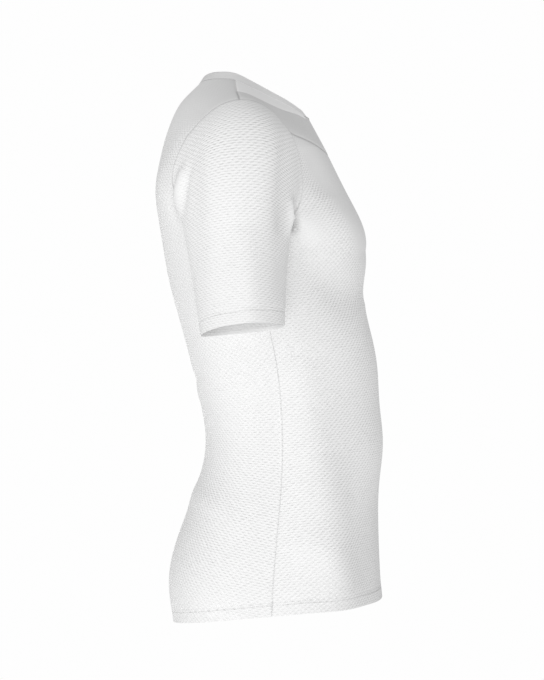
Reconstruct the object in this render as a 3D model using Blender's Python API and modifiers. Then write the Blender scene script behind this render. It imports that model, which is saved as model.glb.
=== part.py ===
"""A short-sleeve base layer in its worn, hollow form: cloth walls only, with open neck, cuffs and hem.

Frame: metres, +Z up, the chest faces -Y and the wearer's left is +X. The origin lies on the mid-plane,
level with the neck ends of the shoulder seams, where the wearer's shoulders carry the garment.

One coarse cage follows the wearer's right half of the garment. Its rings, rows and spokes come from the
tables below. Mirror and Subdivision Surface turn it into one smooth skin, which is cut along the seams
into the sewn panels. Each panel is drawn back a little from its seams and given its wall.
"""

from collections import namedtuple
from math import cos, pi, radians, sin

import bmesh
import bpy
from mathutils import Vector

WALL = 0.0012  # the jersey
BAND_WALL = 0.0020  # the neckband is folded double
SEAM_GAP = 0.0003  # between neighbouring panels
SHARPEST_FOLD = 0.4  # limits how far panels draw back where they meet in a fold
WIDEST_MITRE = 1.6  # limits how much deeper the wall is in a fold
SMOOTHING = 1  # subdivision levels of the skin
PIT_CREASE = 0.5  # how tightly the skin folds under the arm, 0 to 1

FRONT_SQUARENESS = 0.87  # exponents of the rings' superellipses: 1 is an ellipse, less is squarer
BACK_SQUARENESS = 0.80
# The rings' columns: degrees from the centre front to the side seam, and from there to the centre back.
FRONT_COLUMNS = (0.0, 18.75, 37.5, 56.25, 75.0, 82.5, 90.0)
BACK_COLUMNS = (90.0, 75.0, 60.0, 45.0, 30.0, 15.0, 0.0)
SIDE = 6  # the side seam's column
CENTRE_BACK = 12  # the last column
PIT_FRONT, PIT_BACK = 4, 8  # the columns that run into the armhole's lower corners

# The torso below the arms. front, back and seam are Y, and half is the half width at the side seam.
Ring = namedtuple("Ring", "z front back seam half")
TORSO = (
    Ring(-0.610, -0.1822, 0.0856, -0.0490, 0.1690),
    Ring(-0.555, -0.1802, 0.0693, -0.0530, 0.1625),
    Ring(-0.500, -0.1806, 0.0482, -0.0575, 0.1530),
    Ring(-0.450, -0.1874, 0.0378, -0.0590, 0.1465),
    Ring(-0.400, -0.1808, 0.0450, -0.0577, 0.1455),
    Ring(-0.350, -0.1795, 0.0567, -0.0527, 0.1495),
    Ring(-0.300, -0.1687, 0.0697, -0.0425, 0.1565),
    Ring(-0.260, -0.1627, 0.0812, -0.0310, 0.1630),
    Ring(-0.225, -0.1642, 0.0885, -0.0200, 0.1690),
)
HEM = Ring(-0.6430, -0.1852, 0.0795, -0.0470, 0.1680)
# How much lower the hem hangs at each column, in millimetres.
HEM_DROP = (0, -0.5, -1.0, 0, 1.5, 3.5, 5.5, 9.5, 14.0, 18.5, 23.0, 27.5, 30.0)

# The right armhole's seam, from the shoulder tip down the front and up the back.
Armhole = namedtuple("Armhole", "x y z")
ARMHOLE = (
    Armhole(-0.1900, -0.0067, -0.0350),  # shoulder tip
    Armhole(-0.1860, -0.0400, -0.0436),
    Armhole(-0.1720, -0.0669, -0.0740),  # chest seam
    Armhole(-0.1610, -0.0775, -0.1050),
    Armhole(-0.1580, -0.0800, -0.1380),
    Armhole(-0.1630, -0.0670, -0.1780),
    Armhole(-0.1700, -0.0400, -0.1980),
    Armhole(-0.1715, -0.0120, -0.2050),  # side seam
    Armhole(-0.1700, 0.0180, -0.2000),
    Armhole(-0.1600, 0.0500, -0.1810),
    Armhole(-0.1600, 0.0690, -0.1500),
    Armhole(-0.1660, 0.0700, -0.1170),
    Armhole(-0.1750, 0.0540, -0.0810),
    Armhole(-0.1860, 0.0260, -0.0475),
)
PLACES = len(ARMHOLE)
TIP, FRONT_TOP, FRONT_PIT, PIT, BACK_PIT, BACK_TOP = 0, 2, 5, 7, 9, 12  # places along the armhole

# Rows across the chest and the back, from the centre line to the armhole. Each is one cubic curve: reach is
# its handle at the centre line, turn the angle and grip the handle where it meets the armhole.
Row = namedtuple("Row", "y z reach turn grip")
CHEST_ROWS = (
    Row(-0.1602, -0.1830, 0.098, 54, 0.055),
    Row(-0.1452, -0.1470, 0.092, 38, 0.050),
    Row(-0.1303, -0.1150, 0.090, 30, 0.048),
    Row(-0.1178, -0.0885, 0.085, 26, 0.045),
)
BACK_ROWS = (
    Row(0.0944, -0.1830, 0.100, 52, 0.050),
    Row(0.0972, -0.1500, 0.105, 48, 0.045),
    Row(0.0968, -0.1170, 0.105, 42, 0.042),
    Row(0.0932, -0.0835, 0.095, 36, 0.040),
)
TOP_ROW = 3

# Spokes from the shoulders in to the neck, from the centre line to the shoulder seam. edge is the seam
# between yoke and neck panel, and neck is the neckband's seam.
Spoke = namedtuple("Spoke", "edge neck")
CHEST_SPOKES = (
    Spoke((0.0000, -0.0942, -0.0426), (0.0000, -0.0915, -0.0390)),
    Spoke((-0.0272, -0.0881, -0.0404), (-0.0260, -0.0860, -0.0374)),
    Spoke((-0.0650, -0.0740, -0.0380), (-0.0540, -0.0695, -0.0300)),
    Spoke((-0.0950, -0.0600, -0.0380), (-0.0700, -0.0515, -0.0230)),
    Spoke((-0.1225, -0.0435, -0.0337), (-0.0785, -0.0340, -0.0152)),
    Spoke((-0.1430, -0.0260, -0.0285), (-0.0835, -0.0170, -0.0075)),
    Spoke((-0.1450, -0.0030, -0.0200), (-0.0850, 0.0000, 0.0000)),
)
BACK_SPOKES = (
    Spoke((0.0000, 0.0755, -0.0345), (0.0000, 0.0530, -0.0105)),
    Spoke((-0.0380, 0.0745, -0.0340), (-0.0250, 0.0515, -0.0090)),
    Spoke((-0.0740, 0.0705, -0.0320), (-0.0465, 0.0482, -0.0048)),
    Spoke((-0.1040, 0.0610, -0.0305), (-0.0640, 0.0413, 0.0003)),
    Spoke((-0.1280, 0.0440, -0.0290), (-0.0766, 0.0298, 0.0020)),
    Spoke((-0.1450, 0.0210, -0.0262), (-0.0832, 0.0150, 0.0018)),
    Spoke((-0.1450, -0.0030, -0.0200), (-0.0850, 0.0000, 0.0000)),
)
SHOULDER = 6  # the shoulder seam's spoke
PANEL_TIP = 1  # the spoke where the neck panel ends
OUTER, YOKE_MIDDLE, EDGE, PANEL_MIDDLE, NECK, BAND_TOP = range(6)  # steps along a spoke, inward

BAND_HEIGHT = 0.0120
BAND_LEAN = radians(37)  # inward from upright
NECK_AXIS = Vector((0.0, -0.016, 0.0))

# The sleeve: every place on the armhole runs to its place on the cuff along one cubic curve.
CUFF_CENTRE = Vector((-0.2350, -0.0114, -0.3062))
CUFF_RADIUS = 0.0490
CUFF_TILT_OUT = radians(6.3)  # the outer edge is higher than the inner one
CUFF_TILT_AHEAD = radians(3.5)  # the front edge is higher than the back one
CUFF_DROOP = 0.0060  # how much lower the back of the edge hangs
ARM_UP = Vector((0.16, 0.055, 0.985))  # along the arm at the cuff
ARM_WIDENS = 0.08  # the sleeve deepens upward, front to back
ARM_REACH = 0.42  # handle at the cuff, as a share of the distance to the armhole
SLEEVE_RINGS = 5
CAP_LEAD = 0.075  # handle that carries the shoulder's line into the sleeve's cap
SIDE_LEAD = 0.030  # the same in front of and behind the arm
PIT_LEAD = 0.010  # and under it
SIDE_OUT = Vector((-0.95, 0.15, -0.30))  # pulls the sleeve straight out of the armhole's front and back
SIDE_SHARE = 0.6
PIT_OUT = Vector((-0.75, 0.0, -0.66))  # where the sleeve sets off under the arm

PANELS = ("front_body", "back_body", "front_yoke", "neck_panel", "neckband", "sleeve")
ONE_A_SIDE = ("neck_panel", "sleeve")
JERSEY = (0.86, 0.86, 0.86, 1.0)
COLOURS = {"front_yoke": (0.74, 0.74, 0.74, 1.0), "neckband": (0.84, 0.84, 0.84, 1.0)}
ROUGHNESS = 0.85
RIM_ANGLE = radians(50)  # sharper edges than this are not shaded smooth


def ring_point(ring, column):
    """A point of a torso ring: front and back quarters of superellipses that meet at the side seam."""
    if column <= SIDE:
        angle, depth, power = radians(FRONT_COLUMNS[column]), ring.front - ring.seam, FRONT_SQUARENESS
    else:
        angle, depth, power = radians(BACK_COLUMNS[column - SIDE]), ring.back - ring.seam, BACK_SQUARENESS
    out, ahead = sin(angle) ** power, max(0.0, cos(angle)) ** power
    return Vector((-ring.half * out, ring.seam + depth * ahead, ring.z))


def hem_point(column):
    """The hem is level in front and drops toward the centre back."""
    return ring_point(HEM, column) - Vector((0.0, 0.0, HEM_DROP[column] / 1000))


def cubic(start, start_handle, end_handle, end, t):
    s = 1 - t
    return start * s**3 + start_handle * 3 * t * s * s + end_handle * 3 * t * t * s + end * t**3


def row_points(row, end, steps):
    """From the centre line to the armhole, where the row turns away from the front or the back."""
    start, end = Vector((0.0, row.y, row.z)), Vector(end)
    turn = radians(row.turn)
    inward = Vector((cos(turn), sin(turn) * (1 if row.y > 0 else -1), 0.0))
    handles = start - Vector((row.reach, 0.0, 0.0)), end + inward * row.grip
    return [cubic(start, *handles, end, i / steps) for i in range(steps + 1)]


def between(before, start, end, after):
    """The middle of a smooth line through four points."""
    setting_off, arriving = (end - before).normalized(), (after - start).normalized()
    return (start + end) / 2 + (end - start).length / 8 * (setting_off - arriving)


class Cage:
    """The right half's vertices, each under one or more names, and its faces by panel."""

    def __init__(self):
        self.points = []
        self.index = {}
        self.faces = []

    def put(self, name, point):
        self.index[name] = len(self.points)
        self.points.append(Vector(point))

    def share(self, name, other):
        self.index[name] = self.index[other]

    def at(self, name):
        return self.points[self.index[name]]

    def face(self, panel, *names):
        """The corners run anticlockwise as seen from outside."""
        self.faces.append((panel, [self.index[n] for n in names]))

    def strip(self, panel, low, high, first, last):
        """Faces between two runs of named points, which go clockwise round the body as seen from above."""
        for i in range(first, last):
            self.face(panel, (*low, i), (*high, i), (*high, i + 1), (*low, i + 1))


def build_rows(cage, name, rows, places):
    for level, (row, place) in enumerate(zip(rows, places, strict=True)):
        for step, point in enumerate(row_points(row, ARMHOLE[place], PIT_FRONT)):
            cage.put((name, level, step), point)


def build_torso(cage):
    """Rings from the hem to the armholes' lower edge, then rows up the chest and the back beside them."""
    top = len(TORSO) + 1
    build_rows(cage, "chest", CHEST_ROWS, (5, 4, 3, 2))
    build_rows(cage, "back", BACK_ROWS, (9, 10, 11, 12))
    for column in range(CENTRE_BACK + 1):
        cage.put(("ring", 0, column), hem_point(column))
        for level, ring in enumerate(TORSO, 1):
            cage.put(("ring", level, column), ring_point(ring, column))
        if column <= PIT_FRONT:
            cage.share(("ring", top, column), ("chest", 0, column))
        elif column >= PIT_BACK:
            cage.share(("ring", top, column), ("back", 0, CENTRE_BACK - column))
        else:
            cage.put(("ring", top, column), ARMHOLE[FRONT_PIT + column - PIT_FRONT])
    for level in range(top):
        cage.strip("front_body", ("ring", level), ("ring", level + 1), 0, SIDE)
        cage.strip("back_body", ("ring", level), ("ring", level + 1), SIDE, CENTRE_BACK)
    for level in range(TOP_ROW):
        cage.strip("front_body", ("chest", level), ("chest", level + 1), 0, PIT_FRONT)
        cage.strip("back_body", ("back", level + 1), ("back", level), 0, PIT_FRONT)


def name_armhole(cage):
    """Names the armhole's loop. Most of it is already there, as the ends of rings and rows."""
    top = len(TORSO) + 1
    for place, point in enumerate(ARMHOLE):
        name = ("arm", 0, place)
        if FRONT_TOP <= place <= FRONT_PIT:
            cage.share(name, ("chest", FRONT_PIT - place, PIT_FRONT))
        elif FRONT_PIT < place < BACK_PIT:
            cage.share(name, ("ring", top, PIT_FRONT + place - FRONT_PIT))
        elif BACK_PIT <= place <= BACK_TOP:
            cage.share(name, ("back", place - BACK_PIT, PIT_FRONT))
        else:
            cage.put(name, point)


def band_top(neck):
    """The neckband stands on its seam and leans in toward the neck."""
    inward = NECK_AXIS - neck
    inward.z = 0.0
    up = Vector((0.0, 0.0, 1.0))
    return neck + BAND_HEIGHT * (inward.normalized() * sin(BAND_LEAN) + up * cos(BAND_LEAN))


def build_spokes(cage, name, spokes, upper_place):
    """The shoulder region: from the top row and the armhole in to the neck, and up the neckband."""
    for i, spoke in enumerate(spokes):
        here = (name + "_spoke", i)
        if i <= PIT_FRONT:
            cage.share((*here, OUTER), (name, TOP_ROW, i))
            below = cage.at((name, TOP_ROW - 1, i))
        else:
            cage.share((*here, OUTER), ("arm", 0, upper_place if i < SHOULDER else TIP))
            below = None
        outer, edge, neck = cage.at((*here, OUTER)), Vector(spoke.edge), Vector(spoke.neck)
        if below is None:
            below = 2 * outer - edge
        if i == SHOULDER and name == "back":
            for step in range(YOKE_MIDDLE, BAND_TOP + 1):
                cage.share((*here, step), ("chest_spoke", i, step))
            continue
        cage.put((*here, YOKE_MIDDLE), between(below, outer, edge, neck))
        cage.put((*here, EDGE), edge)
        cage.put((*here, PANEL_MIDDLE), between(outer, edge, neck, 2 * neck - edge))
        cage.put((*here, NECK), neck)
        cage.put((*here, BAND_TOP), band_top(neck))


def spoke_panel(name, i, step):
    if step >= NECK:
        return "neckband"
    if name == "back":
        return "back_body"
    return "neck_panel" if step >= EDGE and i >= PANEL_TIP else "front_yoke"


def build_shoulders(cage):
    build_spokes(cage, "chest", CHEST_SPOKES, FRONT_TOP - 1)
    build_spokes(cage, "back", BACK_SPOKES, BACK_TOP + 1)
    for name in ("chest", "back"):
        for i in range(SHOULDER):
            for step in range(BAND_TOP):
                here, after = (name + "_spoke", i), (name + "_spoke", i + 1)
                corners = [(*here, step), (*here, step + 1), (*after, step + 1), (*after, step)]
                if name == "back":
                    corners.reverse()
                cage.face(spoke_panel(name, i, step), *corners)


def cuff_point(place):
    angle = 2 * pi * place / PLACES
    out, ahead = cos(angle), sin(angle)
    rise = CUFF_RADIUS * (out * sin(CUFF_TILT_OUT) + ahead * sin(CUFF_TILT_AHEAD))
    rise -= CUFF_DROOP * ((1 - ahead) / 2) ** 4
    return CUFF_CENTRE + Vector((-out * CUFF_RADIUS, -ahead * CUFF_RADIUS, rise))


def beside_armhole(place):
    """The name of the neighbour on the body's side of the armhole."""
    if place in (TIP, FRONT_TOP - 1):
        return ("chest_spoke", SHOULDER - place, YOKE_MIDDLE)
    if place <= FRONT_PIT:
        return ("chest", FRONT_PIT - place, PIT_FRONT - 1)
    if place < BACK_PIT:
        return ("ring", len(TORSO), PIT_FRONT + place - FRONT_PIT)
    if place <= BACK_TOP:
        return ("back", place - BACK_PIT, PIT_FRONT - 1)
    return ("back_spoke", SHOULDER - 1, YOKE_MIDDLE)


def build_sleeve(cage):
    """The cap goes on from the shoulder's line, the sides come out straighter and the pit folds down."""
    for place in range(PLACES):
        start, end = cage.at(("arm", 0, place)), cuff_point(place)
        onward = (start - cage.at(beside_armhole(place))).normalized()
        low = 1 - cos(2 * pi * place / PLACES)  # 0 at the shoulder tip, 1 at the sides, 2 in the pit
        if low < 1:
            lead = CAP_LEAD + (SIDE_LEAD - CAP_LEAD) * low
            onward = onward.lerp(SIDE_OUT, SIDE_SHARE * low)
        else:
            lead = SIDE_LEAD + (PIT_LEAD - SIDE_LEAD) * (low - 1)
            onward = onward.lerp(SIDE_OUT, SIDE_SHARE).lerp(PIT_OUT, low - 1)
        ahead = sin(2 * pi * place / PLACES)
        up = (ARM_UP - Vector((0.0, ARM_WIDENS * ahead, 0.0))).normalized()
        up *= ARM_REACH * (end - start).length
        for ring in range(1, SLEEVE_RINGS + 1):
            point = cubic(start, start + onward.normalized() * lead, end + up, end, ring / SLEEVE_RINGS)
            cage.put(("arm", ring, place), point)
    for ring in range(SLEEVE_RINGS):
        for place in range(PLACES):
            after = (place + 1) % PLACES
            near, far = ("arm", ring), ("arm", ring + 1)
            cage.face("sleeve", (*near, place), (*far, place), (*far, after), (*near, after))


def crease(bm, cage, names, amount):
    """Keeps the skin sharp along a run of cage edges."""
    layer = bm.edges.layers.float.get("crease_edge") or bm.edges.layers.float.new("crease_edge")
    for a, b in zip(names, names[1:]):
        edge = bm.edges.get((bm.verts[cage.index[a]], bm.verts[cage.index[b]]))
        edge[layer] = amount


def cage_mesh(cage, points):
    bm = bmesh.new()
    for point in points:
        bm.verts.new(point)
    bm.verts.ensure_lookup_table()
    for panel, corners in cage.faces:
        bm.faces.new([bm.verts[i] for i in corners]).material_index = PANELS.index(panel)
    crease(bm, cage, [("arm", 0, place) for place in range(FRONT_PIT, BACK_PIT + 1)], PIT_CREASE)
    for name in ("chest_spoke", "back_spoke"):
        crease(bm, cage, [(name, i, NECK) for i in range(SHOULDER + 1)], 1.0)
    mesh = bpy.data.meshes.new("cage")
    bm.to_mesh(mesh)
    bm.free()
    return mesh


def smooth_skin(cage, points, levels):
    """Both halves as one smooth mesh. The cage's own points come first in it."""
    guide = bpy.data.objects.new("cage", cage_mesh(cage, points))
    bpy.context.scene.collection.objects.link(guide)
    mirror = guide.modifiers.new("Mirror", "MIRROR")
    mirror.merge_threshold = 0.00005
    subdivision = guide.modifiers.new("Subdivision", "SUBSURF")
    subdivision.levels = subdivision.render_levels = levels
    skin = bpy.data.meshes.new_from_object(guide.evaluated_get(bpy.context.evaluated_depsgraph_get()))
    mesh = guide.data
    bpy.data.objects.remove(guide)
    bpy.data.meshes.remove(mesh)
    return skin


def standing_proud(cage):
    """The cage's points moved out by as much as subdivision draws the skin in."""
    drawn_in = smooth_skin(cage, cage.points, 3)
    moved = [point * 2 - drawn_in.vertices[i].co for i, point in enumerate(cage.points)]
    for point, old in zip(moved, cage.points, strict=True):
        if old.x == 0.0:
            point.x = 0.0
    bpy.data.meshes.remove(drawn_in)
    return moved


def pointing_in(edge, face):
    """From the edge into the face, square to the edge."""
    loop = next(loop for loop in edge.link_loops if loop.face == face)
    along = loop.link_loop_next.vert.co - loop.vert.co
    return face.normal.cross(along).normalized()


def draw_back(bm, panel_faces):
    """How to move each vertex on the panel's rim, so that it stands SEAM_GAP from its neighbours."""
    sides = {}
    for edge in bm.edges:
        own = [face for face in edge.link_faces if face in panel_faces]
        if len(own) != 1:
            continue
        inward = pointing_in(edge, own[0])
        outward = [pointing_in(edge, face) for face in edge.link_faces if face != own[0]]
        apart = (inward - outward[0]).length if outward else 2.0
        for vert in edge.verts:
            sides.setdefault(vert, []).append((inward, SEAM_GAP / max(apart, SHARPEST_FOLD)))
    moves = {}
    for vert, ((one, first), (other, second)) in sides.items():
        moves[vert] = max(first, second) * (one + other) / (1 + one.dot(other))
    return moves


def add_wall(bm, inward):
    """Thickens the panel by the steps inward given for its vertices."""
    outside = list(bm.faces)
    rim = [edge.link_loops[0] for edge in bm.edges if edge.is_boundary]
    rim = [(loop.vert, loop.link_loop_next.vert) for loop in rim]
    inner = {vert: bm.verts.new(vert.co + inward[vert]) for vert in list(bm.verts)}
    for face in outside:
        bm.faces.new([inner[vert] for vert in reversed(face.verts)])
    for one, other in rim:
        bm.faces.new((other, one, inner[one], inner[other]))


def make_panel(collection, name, skin, panel, side):
    """One sewn panel: its part of the skin, drawn back from the seams, with a wall inward."""
    bm = bmesh.new()
    bm.from_mesh(skin)
    bm.normal_update()
    wall = BAND_WALL if panel == "neckband" else WALL
    inward = {v: -wall * min(v.calc_shell_factor(), WIDEST_MITRE) * v.normal for v in bm.verts}
    wanted = PANELS.index(panel)
    faces = {f for f in bm.faces if f.material_index == wanted and side * f.calc_center_median().x >= 0}
    for vert, move in draw_back(bm, faces).items():
        vert.co += move
    bmesh.ops.delete(bm, geom=[f for f in bm.faces if f not in faces], context="FACES")
    add_wall(bm, inward)
    for face in bm.faces:
        face.material_index = 0
        face.smooth = True
    mesh = bpy.data.meshes.new(name)
    bm.to_mesh(mesh)
    bm.free()
    mesh.set_sharp_from_angle(angle=RIM_ANGLE)
    material = bpy.data.materials.new(name + "_cloth")
    material.use_nodes = True
    shader = material.node_tree.nodes["Principled BSDF"]
    shader.inputs["Base Color"].default_value = COLOURS.get(panel, JERSEY)
    shader.inputs["Roughness"].default_value = ROUGHNESS
    shader.inputs["Metallic"].default_value = 0.0
    mesh.materials.append(material)
    collection.objects.link(bpy.data.objects.new(name, mesh))


def main():
    for old in list(bpy.data.objects):
        bpy.data.objects.remove(old)
    garment = bpy.data.collections.new("base_layer")
    bpy.context.scene.collection.children.link(garment)
    cage = Cage()
    build_torso(cage)
    name_armhole(cage)
    build_shoulders(cage)
    build_sleeve(cage)
    skin = smooth_skin(cage, standing_proud(cage), SMOOTHING)
    for panel in PANELS:
        if panel in ONE_A_SIDE:
            make_panel(garment, panel + "_right", skin, panel, -1)
            make_panel(garment, panel + "_left", skin, panel, 1)
        else:
            make_panel(garment, panel, skin, panel, 0)
    bpy.data.meshes.remove(skin)


main()
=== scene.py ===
"""The looks of a short-sleeve base layer: every sewn panel as a thin knitted shell on its solid's form.

The skin is worked out from the part's own tables, given its folds and cut along the seams. Each panel then
gets its wall, its rounded edges and its knit. Frame: metres, +Z up, the chest faces -Y.
"""

from collections import namedtuple
from math import cos, pi, radians, sin

import bmesh
import bpy
import numpy as np
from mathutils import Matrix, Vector, kdtree


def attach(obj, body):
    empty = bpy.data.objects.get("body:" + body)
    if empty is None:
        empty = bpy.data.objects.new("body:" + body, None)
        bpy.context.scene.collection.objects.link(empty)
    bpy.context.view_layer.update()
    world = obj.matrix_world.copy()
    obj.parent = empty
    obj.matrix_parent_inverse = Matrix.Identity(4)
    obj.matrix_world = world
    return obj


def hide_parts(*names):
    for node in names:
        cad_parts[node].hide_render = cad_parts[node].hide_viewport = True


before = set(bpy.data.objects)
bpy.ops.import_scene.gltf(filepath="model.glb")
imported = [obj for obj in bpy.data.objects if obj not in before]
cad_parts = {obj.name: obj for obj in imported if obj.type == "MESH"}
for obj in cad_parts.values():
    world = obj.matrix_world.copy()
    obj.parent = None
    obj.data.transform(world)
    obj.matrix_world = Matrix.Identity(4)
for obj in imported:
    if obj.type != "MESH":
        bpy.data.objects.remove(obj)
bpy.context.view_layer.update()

PIT_CREASE = 0.5  # how tightly the skin folds under the arm, 0 to 1
FRONT_SQUARENESS = 0.87  # exponents of the rings' superellipses: 1 is an ellipse, less is squarer
BACK_SQUARENESS = 0.8
FRONT_COLUMNS = (0.0, 18.75, 37.5, 56.25, 75.0, 82.5, 90.0)  # degrees from the centre front to the side seam
BACK_COLUMNS = (90.0, 75.0, 60.0, 45.0, 30.0, 15.0, 0.0)  # degrees left from there to the centre back
SIDE = 6  # the side seam's column
CENTRE_BACK = 12
PIT_FRONT, PIT_BACK = 4, 8  # the columns that run into the armhole's lower corners

# The torso below the arms. front, back and seam are Y, and half is the half width at the side seam.
Ring = namedtuple("Ring", "z front back seam half")
TORSO = (
    Ring(-0.61, -0.1822, 0.0856, -0.049, 0.169),
    Ring(-0.555, -0.1802, 0.0693, -0.053, 0.1625),
    Ring(-0.5, -0.1806, 0.0482, -0.0575, 0.153),
    Ring(-0.45, -0.1874, 0.0378, -0.059, 0.1465),
    Ring(-0.4, -0.1808, 0.045, -0.0577, 0.1455),
    Ring(-0.35, -0.1795, 0.0567, -0.0527, 0.1495),
    Ring(-0.3, -0.1687, 0.0697, -0.0425, 0.1565),
    Ring(-0.26, -0.1627, 0.0812, -0.031, 0.163),
    Ring(-0.225, -0.1642, 0.0885, -0.02, 0.169),
)
HEM = Ring(-0.643, -0.1852, 0.0795, -0.047, 0.168)
# How much lower the hem is at each column, in millimetres.
HEM_DROP = (0, -0.5, -1.0, 0, 1.5, 3.5, 5.5, 9.5, 14.0, 18.5, 23.0, 27.5, 30.0)

# The right armhole's seam, from the shoulder tip down the front and up the back.
ARMHOLE = (
    (-0.19, -0.0067, -0.035),  # shoulder tip
    (-0.186, -0.04, -0.0436),
    (-0.172, -0.0669, -0.074),  # chest seam
    (-0.161, -0.0775, -0.105),
    (-0.158, -0.08, -0.138),
    (-0.163, -0.067, -0.178),
    (-0.17, -0.04, -0.198),
    (-0.1715, -0.012, -0.205),  # side seam
    (-0.17, 0.018, -0.2),
    (-0.16, 0.05, -0.181),
    (-0.16, 0.069, -0.15),
    (-0.166, 0.07, -0.117),
    (-0.175, 0.054, -0.081),
    (-0.186, 0.026, -0.0475),
)
PLACES = len(ARMHOLE)
TIP, FRONT_TOP, FRONT_PIT, PIT, BACK_PIT, BACK_TOP = 0, 2, 5, 7, 9, 12  # places along the armhole

# Rows from the centre line to the armhole. Each is one cubic curve: reach is its handle at the centre line,
# turn the angle and grip the handle where it meets the armhole.
Row = namedtuple("Row", "y z reach turn grip")
CHEST_ROWS = (
    Row(-0.1602, -0.183, 0.098, 54, 0.055),
    Row(-0.1452, -0.147, 0.092, 38, 0.05),
    Row(-0.1303, -0.115, 0.09, 30, 0.048),
    Row(-0.1178, -0.0885, 0.085, 26, 0.045),
)
BACK_ROWS = (
    Row(0.0944, -0.183, 0.1, 52, 0.05),
    Row(0.0972, -0.15, 0.105, 48, 0.045),
    Row(0.0968, -0.117, 0.105, 42, 0.042),
    Row(0.0932, -0.0835, 0.095, 36, 0.04),
)
TOP_ROW = 3

# Spokes in to the neck, from the centre line to the shoulder seam. Each has its points on the seam between
# yoke and neck panel and on the neckband's seam.
CHEST_SPOKES = (
    ((0.0, -0.0942, -0.0426), (0.0, -0.0915, -0.039)),
    ((-0.0272, -0.0881, -0.0404), (-0.026, -0.086, -0.0374)),
    ((-0.065, -0.074, -0.038), (-0.054, -0.0695, -0.03)),
    ((-0.095, -0.06, -0.038), (-0.07, -0.0515, -0.023)),
    ((-0.1225, -0.0435, -0.0337), (-0.0785, -0.034, -0.0152)),
    ((-0.143, -0.026, -0.0285), (-0.0835, -0.017, -0.0075)),
    ((-0.145, -0.003, -0.02), (-0.085, 0.0, 0.0)),
)
BACK_SPOKES = (
    ((0.0, 0.0755, -0.0345), (0.0, 0.053, -0.0105)),
    ((-0.038, 0.0745, -0.034), (-0.025, 0.0515, -0.009)),
    ((-0.074, 0.0705, -0.032), (-0.0465, 0.0482, -0.0048)),
    ((-0.104, 0.061, -0.0305), (-0.064, 0.0413, 0.0003)),
    ((-0.128, 0.044, -0.029), (-0.0766, 0.0298, 0.002)),
    ((-0.145, 0.021, -0.0262), (-0.0832, 0.015, 0.0018)),
    CHEST_SPOKES[-1],
)
SHOULDER = 6  # the shoulder seam's spoke
PANEL_TIP = 1  # the spoke where the neck panel ends
OUTER, YOKE_MIDDLE, EDGE, PANEL_MIDDLE, NECK, BAND_TOP = range(6)  # steps along a spoke, inward

BAND_HEIGHT = 0.012
BAND_LEAN = radians(37)  # inward from upright
NECK_AXIS = Vector((0.0, -0.016, 0.0))

# The sleeve: every place on the armhole runs to its place on the cuff along one cubic curve.
CUFF_CENTRE = Vector((-0.235, -0.0114, -0.3062))
CUFF_RADIUS = 0.049
CUFF_TILT_OUT = radians(6.3)  # the outer edge is higher
CUFF_TILT_AHEAD = radians(3.5)  # and the front edge
CUFF_DROOP = 0.006  # how much lower the back hangs
ARM_UP = Vector((0.16, 0.055, 0.985))  # along the arm at the cuff
ARM_WIDENS = 0.08  # the sleeve deepens upward, front to back
ARM_REACH = 0.42  # handle at the cuff, as a share of the distance to the armhole
SLEEVE_RINGS = 5
CAP_LEAD = 0.075  # handle that carries on the shoulder's line
SIDE_LEAD = 0.03  # the same in front and behind
PIT_LEAD = 0.01  # and under the arm
SIDE_OUT = Vector((-0.95, 0.15, -0.3))  # straight out at the armhole's front and back
SIDE_SHARE = 0.6
PIT_OUT = Vector((-0.75, 0.0, -0.66))  # where the sleeve sets off under the arm

HEM_RINGS = (0.012, 0.0185)  # rings of the cage below and above the rows of stitching
CUFF_RINGS = (0.0135, 0.02)
LAST_RING = SLEEVE_RINGS + len(CUFF_RINGS)  # of the sleeve, its edge
TORSO_TOP = len(TORSO) + len(HEM_RINGS) + 1  # the ring at the armholes' lower edge
SKIN_LEVELS = 2  # of subdivision before the skin is laid flat
MERGE = 0.00005  # joins the two halves at the middle
PANELS = ("front_body", "back_body", "front_yoke", "neck_panel", "neckband", "sleeve")
BODY, SLEEVE = ("front_body", "back_body"), ("sleeve",)
ONE_A_SIDE = ("neck_panel", "sleeve")


def ring_point(ring, column):
    """A ring is a quarter of a superellipse in front and one behind, which meet at the side seam."""
    if column <= SIDE:
        angle, depth, power = radians(FRONT_COLUMNS[column]), ring.front - ring.seam, FRONT_SQUARENESS
    else:
        angle, depth, power = radians(BACK_COLUMNS[column - SIDE]), ring.back - ring.seam, BACK_SQUARENESS
    y = ring.seam + depth * max(0.0, cos(angle)) ** power
    return Vector((-ring.half * sin(angle) ** power, y, ring.z))


def hem_point(column):
    """The hem is level in front and drops toward the centre back."""
    return ring_point(HEM, column) - Vector((0.0, 0.0, HEM_DROP[column] / 1000))


def cubic(start, start_handle, end_handle, end, t):
    s = 1 - t
    return start * s**3 + start_handle * 3 * t * s * s + end_handle * 3 * t * t * s + end * t**3


def row_points(row, end, steps):
    """From the centre line to the armhole, where the row turns from the front or the back."""
    start, end, turn = Vector((0.0, row.y, row.z)), Vector(end), radians(row.turn)
    inward = Vector((cos(turn), sin(turn) * (1 if row.y > 0 else -1), 0.0))
    handles = start - Vector((row.reach, 0.0, 0.0)), end + inward * row.grip
    return [cubic(start, *handles, end, i / steps) for i in range(steps + 1)]


def curve_at(before, start, end, after, t):
    """A point of the smooth curve from start to end, t along it."""
    return 0.5 * (2 * start + (end - before) * t + (2 * before - 5 * start + 4 * end - after) * t**2
                  + (3 * start - before - 3 * end + after) * t**3)


def between(before, start, end, after):
    """The middle of a smooth line through four points."""
    setting_off, arriving = (end - before).normalized(), (after - start).normalized()
    return (start + end) / 2 + (end - start).length / 8 * (setting_off - arriving)


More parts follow.
